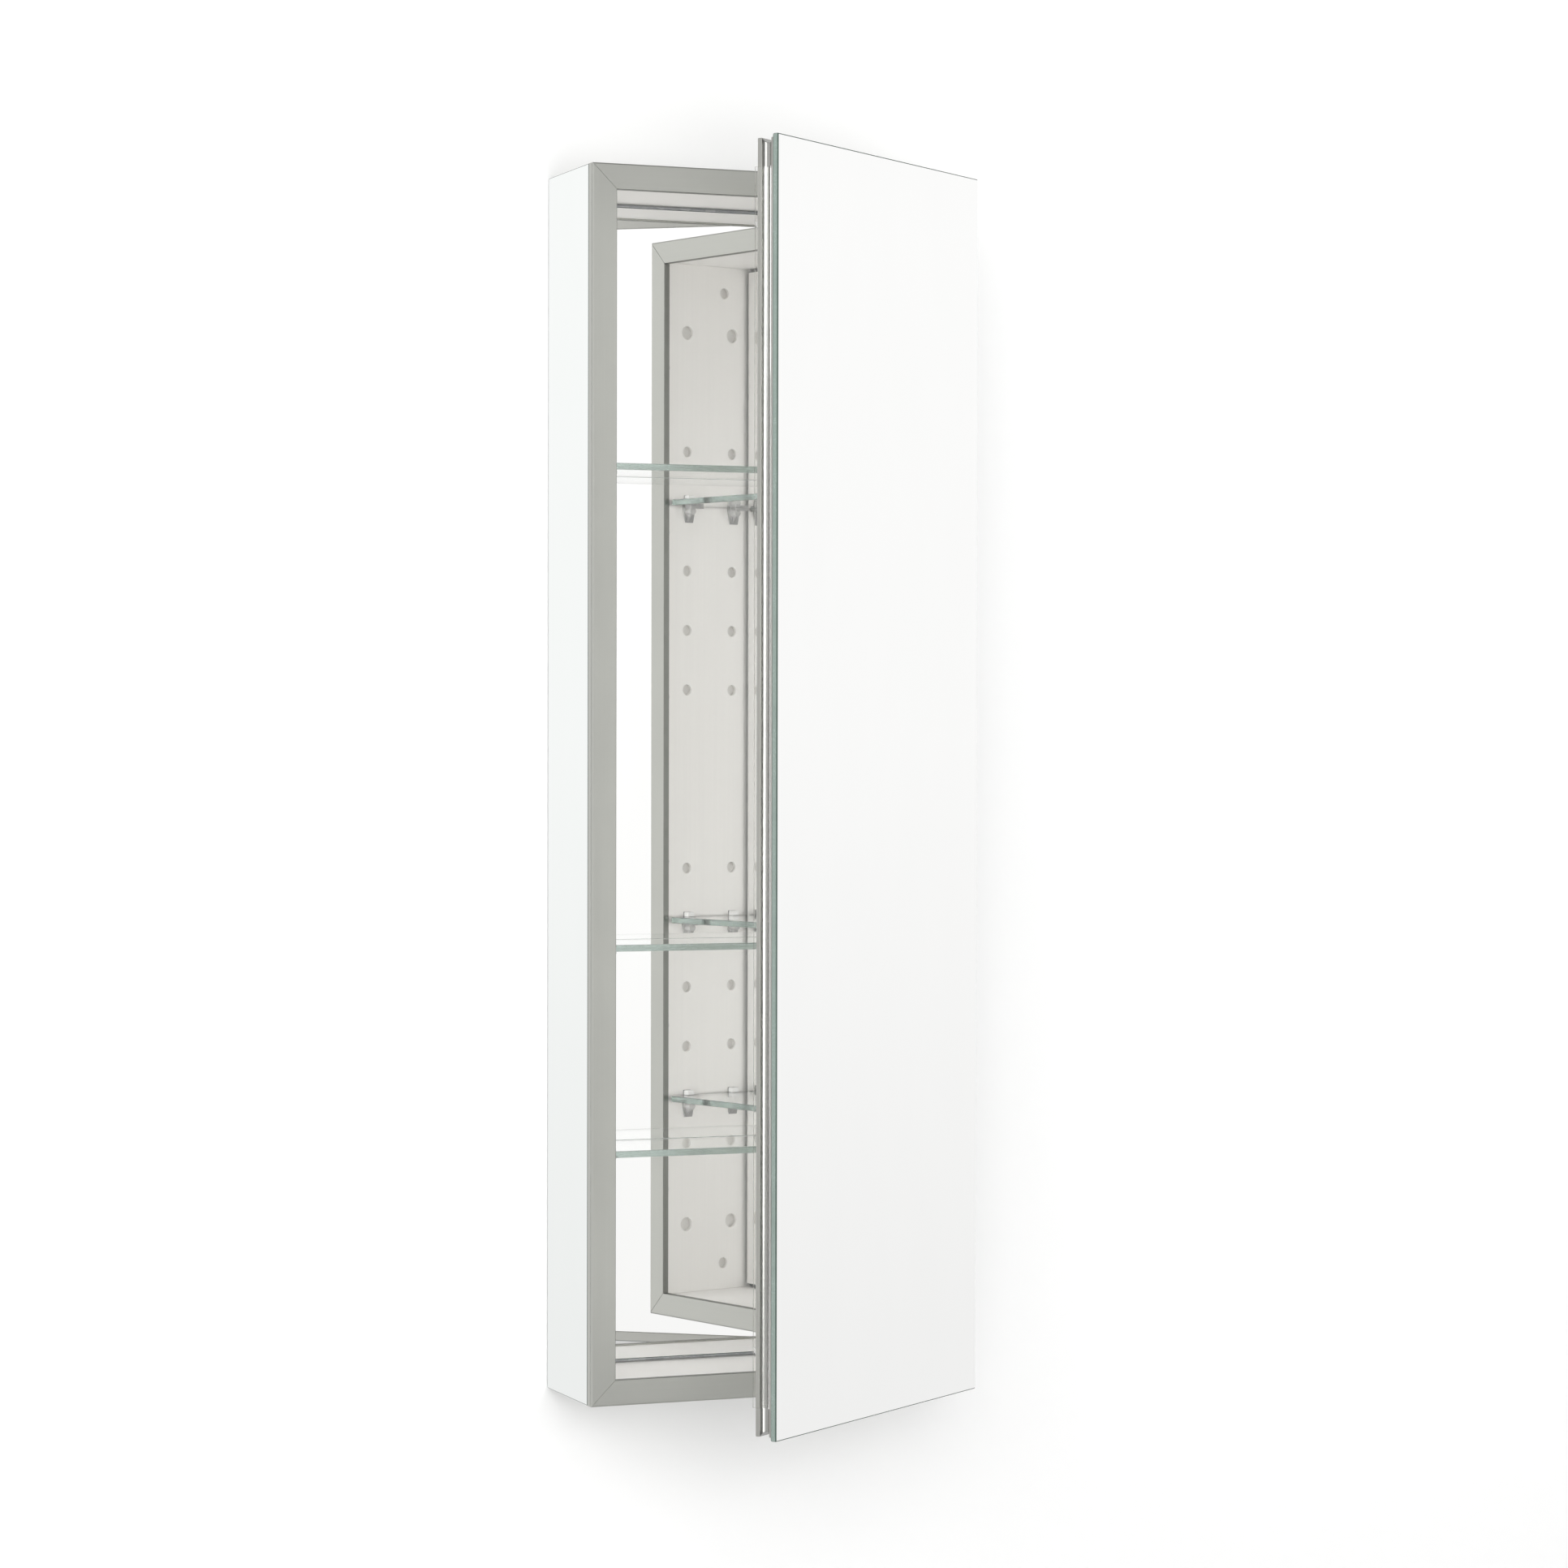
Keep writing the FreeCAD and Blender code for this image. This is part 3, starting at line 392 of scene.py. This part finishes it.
def galvanised(name):
    """Zinc-coated sheet: large flat crystals, each with its own tone and gloss."""
    material, tree, shader = new_material(name)
    place = tree.nodes.new("ShaderNodeTexCoord")
    crystals = tree.nodes.new("ShaderNodeTexVoronoi")
    crystals.inputs["Scale"].default_value = 95.0
    tree.links.new(place.outputs["Object"], crystals.inputs["Vector"])
    tone = tree.nodes.new("ShaderNodeSeparateColor")
    tree.links.new(crystals.outputs["Color"], tone.inputs[0])
    mixed = average(tree, tone.outputs[0], noise(tree, 320.0, 4.0))
    colour = tinted(tree, mixed, (0.42, 0.435, 0.45), (0.60, 0.61, 0.62))
    tree.links.new(colour, shader.inputs["Base Color"])
    tree.links.new(between(tree, tone.outputs[1], 0.34, 0.52), shader.inputs["Roughness"])
    shader.inputs["Metallic"].default_value = 1.0
    relief(tree, shader, mixed, 0.03 * MM)
    return material


def silvered(name, colour):
    """Mirror surface: almost perfect, with faint wipe marks in the gloss."""
    material, tree, shader = new_material(name)
    marks = noise(tree, 26.0, 5.0, WIPED)
    tree.links.new(tinted(tree, marks, *shades(colour, 0.004)), shader.inputs["Base Color"])
    tree.links.new(between(tree, marks, 0.0, 0.012), shader.inputs["Roughness"])
    shader.inputs["Metallic"].default_value = 1.0
    return material


def ground_edge(name, colour, coat=FULL_COAT):
    """Ground edge of float glass, with fine grinding marks. Less coat leaves it duller."""
    material, tree, shader = new_material(name)
    lines = noise(tree, 900.0, 3.0)
    streaks = noise(tree, 60.0, 3.0)
    mixed = average(tree, lines, streaks)
    tree.links.new(tinted(tree, mixed, *shades(colour, 0.14)), shader.inputs["Base Color"])
    tree.links.new(between(tree, mixed, 0.18, 0.32), shader.inputs["Roughness"])
    shader.inputs["Coat Weight"].default_value = coat
    shader.inputs["Coat Roughness"].default_value = 0.08
    shader.inputs["Specular IOR Level"].default_value = 0.5 * coat / FULL_COAT
    relief(tree, shader, lines, 0.02 * MM)
    return material


def plain_paint(name, colour, rough, grit=900.0, depth=0.02 * MM, spread=0.05):
    """Paint, moulded plastic or foam with a fine grit and slow changes of tone. grit is in
    grains per metre, and depth is the height of the grains."""
    material, tree, shader = new_material(name)
    grains = noise(tree, grit, 3.0)
    clouds = noise(tree, 30.0, 3.0)
    mixed = average(tree, grains, clouds)
    tree.links.new(tinted(tree, mixed, *shades(colour, spread)), shader.inputs["Base Color"])
    tree.links.new(between(tree, mixed, rough - 0.06, rough + 0.06), shader.inputs["Roughness"])
    relief(tree, shader, grains, depth)
    return material


def transparent(name, colour, ior):
    """Clear glass or plastic with faint smears, and with its roughness still to be set."""
    material, tree, shader = new_material(name)
    smears = noise(tree, SMEAR_SCALE, 4.0)
    tree.links.new(tinted(tree, smears, *shades(colour, 0.006)), shader.inputs["Base Color"])
    shader.inputs["Transmission Weight"].default_value = 1.0
    shader.inputs["IOR"].default_value = ior
    return material, tree, shader


def shelf_glass(name):
    """Float glass: smooth and clear through its faces, and green along its length from its
    finely ground edges."""
    material, tree, shader = transparent(name, (0.99, 0.99, 0.99), GLASS_IOR)
    geometry = tree.nodes.new("ShaderNodeNewGeometry")
    parts = tree.nodes.new("ShaderNodeSeparateXYZ")
    tree.links.new(geometry.outputs["Normal"], parts.inputs[0])
    level = compute(tree, "MULTIPLY", parts.outputs["Z"], parts.outputs["Z"])
    rough = between(tree, level, SHELF_EDGE_ROUGHNESS, 0.0, SHELF_EDGE_TO_FACE)
    tree.links.new(rough, shader.inputs["Roughness"])
    inside = tree.nodes.new("ShaderNodeVolumeAbsorption")
    inside.inputs["Color"].default_value = SHELF_DEPTH_COLOUR
    inside.inputs["Density"].default_value = SHELF_DEPTH_DENSITY
    output = next(node for node in tree.nodes if node.type == "OUTPUT_MATERIAL")
    tree.links.new(inside.outputs[0], output.inputs["Volume"])
    return material


def clear_plastic(name, colour, rough, ior, transmission=1.0):
    """Clear plastic; less transmission makes it milky in its thickness."""
    material, tree, shader = transparent(name, colour, ior)
    smears = noise(tree, SMEAR_SCALE, 4.0)
    tree.links.new(between(tree, smears, rough, rough + 0.01), shader.inputs["Roughness"])
    shader.inputs["Transmission Weight"].default_value = transmission
    return material


SATIN = (0.505, 0.51, 0.48)
DOOR_SATIN = (0.50, 0.50, 0.475)
INSIDE = (0.93, 0.918, 0.9)
MATERIALS = {
    "satin_upright": metal("satin_upright", SATIN, UPRIGHT, 0.36),
    "satin_level": metal("satin_level", SATIN, LEVEL, 0.36),
    # Painted shade: a darker copy of the satin metal for the lip and edge round the opening of
    # the face frame.
    "satin_lip_painted_shade": metal("satin_lip_painted_shade", (0.27, 0.275, 0.26), EVEN, 0.42),
    "door_upright": metal("door_upright", DOOR_SATIN, UPRIGHT, 0.34),
    "door_level": metal("door_level", DOOR_SATIN, LEVEL, 0.34),
    "inside_upright": coated_metal("inside_upright", INSIDE, UPRIGHT),
    "inside_level": coated_metal("inside_level", INSIDE, LEVEL),
    "mill_metal": metal("mill_metal", (0.66, 0.665, 0.67), LEVEL, 0.42, spread=0.06),
    "stainless": metal(
        "stainless", (0.56, 0.55, 0.53), UPRIGHT, 0.24, spread=0.04, fineness=1100.0
    ),
    "zinc_sheet": galvanised("zinc_sheet"),
    "mirror": silvered("mirror", (0.968, 0.968, 0.965)),
    "side_mirror": silvered("side_mirror", (0.925, 0.948, 0.94)),
    "glass_edge": ground_edge("glass_edge", (0.225, 0.28, 0.255)),
    "glass_arris": ground_edge("glass_arris", (0.08, 0.11, 0.095), coat=0.05),
    "groove": metal("groove", (0.42, 0.42, 0.405), UPRIGHT, 0.2),
    "mirror_backing": plain_paint("mirror_backing", (0.30, 0.31, 0.32), 0.55),
    "shelf_glass": shelf_glass("shelf_glass"),
    "clear_plastic": clear_plastic(
        "clear_plastic", (0.985, 0.985, 0.98), 0.03, CLEAR_PLASTIC_IOR, MILKY_CLEAR
    ),
    "clear_seal": clear_plastic("clear_seal", (0.97, 0.97, 0.965), 0.02, SOFT_SEAL_IOR),
    "white_plastic": plain_paint(
        "white_plastic", (0.95, 0.95, 0.945), 0.3, grit=600.0, depth=0.01 * MM, spread=0.02
    ),
    "grey_plastic": plain_paint("grey_plastic", (0.78, 0.77, 0.75), 0.42),
    "black_plastic": plain_paint("black_plastic", (0.045, 0.046, 0.048), 0.5),
    "foam": plain_paint(
        "foam", (0.70, 0.70, 0.68), 0.9, grit=2200.0, depth=0.15 * MM, spread=0.1
    ),
    "ferrite": plain_paint(
        "ferrite", (0.05, 0.048, 0.05), 0.6, grit=1200.0, depth=0.04 * MM, spread=0.15
    ),
}


# ---- making pieces --------------------------------------------------------------------------
WELD_GAP = 0.002 * MM                   # vertices nearer than this are one
FLAT_ANGLE = math.radians(0.5)          # faces that meet at less than this are one
SHARP_ANGLE = math.radians(35.0)        # edges from this angle on are rounded over
CREASE_ANGLE = math.radians(40.0)       # and those left from this angle on shade sharp
SAME_WAY = 0.99                         # cosine between directions that count as the same
ACROSS = 0.1                            # and as square to each other


def rest_place(node):
    """Matrix from the shut drawing to the place of a node in the stored pose."""
    on_door = frame["nodes"][node]["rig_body"] == "door"
    return DOOR_TURN if on_door else Matrix.Identity(4)


def shut_box(node):
    """Lowest and highest corner of a CAD node, with the door turned back to shut."""
    back = rest_place(node).inverted()
    points = [back @ vertex.co for vertex in frame["nodes"][node].data.vertices]
    low = Vector([min(point[axis] for point in points) for axis in range(3)])
    high = Vector([max(point[axis] for point in points) for axis in range(3)])
    return low, high


def add_piece(name, form, node, materials, pick=None):
    """Turns a bmesh into the piece that stands for a CAD node. pick gives the index of the
    material from a face. Level grain runs along the object's own X, so a piece of the door
    with such grain carries the door's turn in its matrix."""
    mesh = bpy.data.meshes.new(name)
    for face in form.faces:
        face.smooth = True
        face.material_index = pick(face) if pick else 0
    form.to_mesh(mesh)
    form.free()
    for material in materials:
        mesh.materials.append(MATERIALS[material])
    mesh.set_sharp_from_angle(angle=CREASE_ANGLE)
    piece = bpy.data.objects.new(name, mesh)
    bpy.context.scene.collection.objects.link(piece)
    if any("level" in material for material in materials):
        piece.matrix_world = rest_place(node)
    else:
        mesh.transform(rest_place(node))
    normals = piece.modifiers.new("even_normals", "WEIGHTED_NORMAL")
    normals.keep_sharp = True
    source = frame["nodes"][node]
    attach(piece, source["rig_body"])
    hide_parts(node)
    return piece


def box_form(low, high):
    """Plain box between two corners, as a bmesh."""
    form = bmesh.new()
    bmesh.ops.create_cube(form, size=1.0)
    middle = (low + high) / 2
    size = high - low
    for vertex in form.verts:
        vertex.co = Vector(vertex.co[axis] * size[axis] + middle[axis] for axis in range(3))
    return form


def round_over(form, edges, width, segments):
    """Rounds edges over; one segment gives a flat arris."""
    bmesh.ops.bevel(
        form,
        geom=edges,
        offset=width,
        segments=segments,
        profile=0.5,
        affect="EDGES",
        clamp_overlap=True,
    )
    form.normal_update()


def mirror_sheet(name, node, front, silver, arris=MIRROR_ARRIS, edge="glass_edge"):
    """Sheet of silvered glass with a ground arris; front is the direction its face looks in."""
    materials = [silver, edge, "mirror_backing", "glass_arris"]
    form = box_form(*shut_box(node))
    round_over(form, form.edges[:], arris, 1)

    def pick(face):
        towards = face.normal.dot(Vector(front))
        if towards > SAME_WAY:
            return 0
        if towards < -SAME_WAY:
            return 2
        return 1 if abs(towards) < ACROSS else 3

    return add_piece(name, form, node, materials, pick)


def shelf_sheet(name, node):
    """Glass shelf with round corners and finely ground edges."""
    form = box_form(*shut_box(node))
    upright = [edge for edge in form.edges if abs((edge.verts[0].co - edge.verts[1].co).z) > MM]
    round_over(form, upright, SHELF_CORNER, 8)
    rims = []
    for edge in form.edges:
        tilts = {abs(round(face.normal.z)) for face in edge.link_faces}
        if tilts == {0, 1}:
            rims.append(edge)
    round_over(form, rims, SHELF_ARRIS, 3)
    return add_piece(name, form, node, ["shelf_glass"])


def softened(node, materials, width, pick=None):
    """Copy of a CAD node's shape with its sharp edges rounded over. materials is a name, or
    several names between which pick chooses for each face."""
    source = frame["nodes"][node].data
    form = bmesh.new()
    form.from_mesh(source)
    for layer in list(form.loops.layers.uv.values()):
        form.loops.layers.uv.remove(layer)
    form.transform(rest_place(node).inverted())
    bmesh.ops.remove_doubles(form, verts=form.verts[:], dist=WELD_GAP)
    bmesh.ops.dissolve_limit(
        form,
        angle_limit=FLAT_ANGLE,
        verts=form.verts[:],
        edges=form.edges[:],
    )
    form.normal_update()
    for edge in form.edges:
        edge.smooth = True
    sharp = [edge for edge in form.edges if edge.calc_face_angle(0.0) > SHARP_ANGLE]
    round_over(form, sharp, width, 2)
    if isinstance(materials, str):
        materials = [materials]
    return add_piece(node + "_finish", form, node, materials, pick)


def paint(node, material):
    """New finish on a CAD node that stays as it is."""
    for slot in frame["nodes"][node].material_slots:
        slot.material = MATERIALS[material]


# ---- the cabinet ----------------------------------------------------------------------------
glass_low, glass_high = shut_box("door_glass")


def inset(face):
    """How far a face lies inside the outline that cabinet and door glass share."""
    place = face.calc_center_median()
    gaps = (place - glass_low, glass_high - place)
    return min(min(gap.x, gap.z) for gap in gaps)


def in_groove(face):
    """1 for a face of the finger groove round the door frame, else 0."""
    behind = face.calc_center_median().y - glass_low.y
    return int(GROOVE_INSETS[0] < inset(face) < GROOVE_INSETS[1] and behind < GROOVE_BACK)


def on_lip(face):
    """1 for a face of the lip round the opening of the face frame, which gets a darker metal as
    painted shade, else 0.
    """
    return int(inset(face) > LIP_INSET)


def build_body():
    for side in ("left", "right"):
        softened(f"{side}_wall", "inside_upright", WALL_EDGE)
        softened(f"side_trim_{side}", "satin_upright", TRIM_EDGE)
        # the lip faces of the stile get the darker metal as painted shade
        softened(f"frame_stile_{side}", ["satin_upright", "satin_lip_painted_shade"], FRAME_EDGE, on_lip)
        paint(f"side_spacers_{side}", "black_plastic")
        paint(f"shelf_sockets_{side}", "grey_plastic")
        paint(f"side_hole_caps_{side}", "grey_plastic")
    for end in ("top", "bottom"):
        softened(f"{end}_wall", "inside_level", WALL_EDGE)
        softened(f"{end}_cover", "satin_level", SHEET_EDGE)
        # the lip faces of the rail get the darker metal as painted shade
        softened(f"frame_rail_{end}", ["satin_level", "satin_lip_painted_shade"], FRAME_EDGE, on_lip)
    mirror_sheet("side_mirror_sheet_left", "side_mirror_left", (-1, 0, 0), "side_mirror")
    mirror_sheet("side_mirror_sheet_right", "side_mirror_right", (1, 0, 0), "side_mirror")
    mirror_sheet("back_mirror_sheet", "back_mirror", (0, -1, 0), "mirror", edge="glass_arris")
    for node in ("back_panel", "back_stiffener", "hanger_rail", "wall_rail"):
        softened(node, "zinc_sheet", SHEET_EDGE)
    for node in ("corner_brackets", "back_panel_rivets", "frame_corner_keys", "frame_rivets"):
        paint(node, "mill_metal")
    paint("strike_plates", "zinc_sheet")
    paint("back_mirror_tape", "foam")


def build_shelves():
    for level in ("top", "middle", "bottom"):
        shelf_sheet(f"shelf_sheet_{level}", f"shelf_{level}")
        softened(f"shelf_clips_{level}", "clear_plastic", CLIP_EDGE)
        softened(f"clip_tabs_{level}", "white_plastic", MOULDED_EDGE)


def build_door():
    for side in ("free", "hinge"):
        softened(f"door_stile_{side}", ["door_upright", "groove"], FRAME_EDGE, in_groove)
    for end in ("top", "bottom"):
        softened(f"door_rail_{end}", ["door_level", "groove"], FRAME_EDGE, in_groove)
    mirror_sheet("door_mirror_sheet", "door_glass", (0, -1, 0), "mirror", DOOR_ARRIS)
    mirror_sheet("door_inner_sheet", "door_inner_mirror", (0, 1, 0), "mirror")
    softened("door_edge_seal", "clear_seal", SEAL_EDGE)
    softened("door_bumpers", "clear_plastic", MOULDED_EDGE)
    paint("door_corner_keys", "mill_metal")
    paint("door_glass_tape", "foam")
    paint("inner_mirror_tape", "foam")
    paint("door_magnets", "ferrite")


def build_hinge():
    for node in ("hinge_leaf_cabinet", "hinge_leaf_door", "hinge_pin"):
        softened(node, "stainless", STAMPED_EDGE)
    paint("hinge_screws_cabinet", "stainless")
    paint("hinge_screws_door", "stainless")


add_camera()
add_world()
add_stage()
for softbox in SOFTBOXES:
    add_softbox(*softbox)
build_body()
build_shelves()
build_door()
build_hinge()
scene = bpy.context.scene
scene.view_settings.view_transform = "Standard"
scene.cycles.max_bounces = ALL_BOUNCES
scene.cycles.glossy_bounces = MIRROR_BOUNCES
scene.cycles.transmission_bounces = MIRROR_BOUNCES
scene.cycles.diffuse_bounces = MATT_BOUNCES
scene.cycles.blur_glossy = 0.0      # a blur would take light away from the mirrored inside
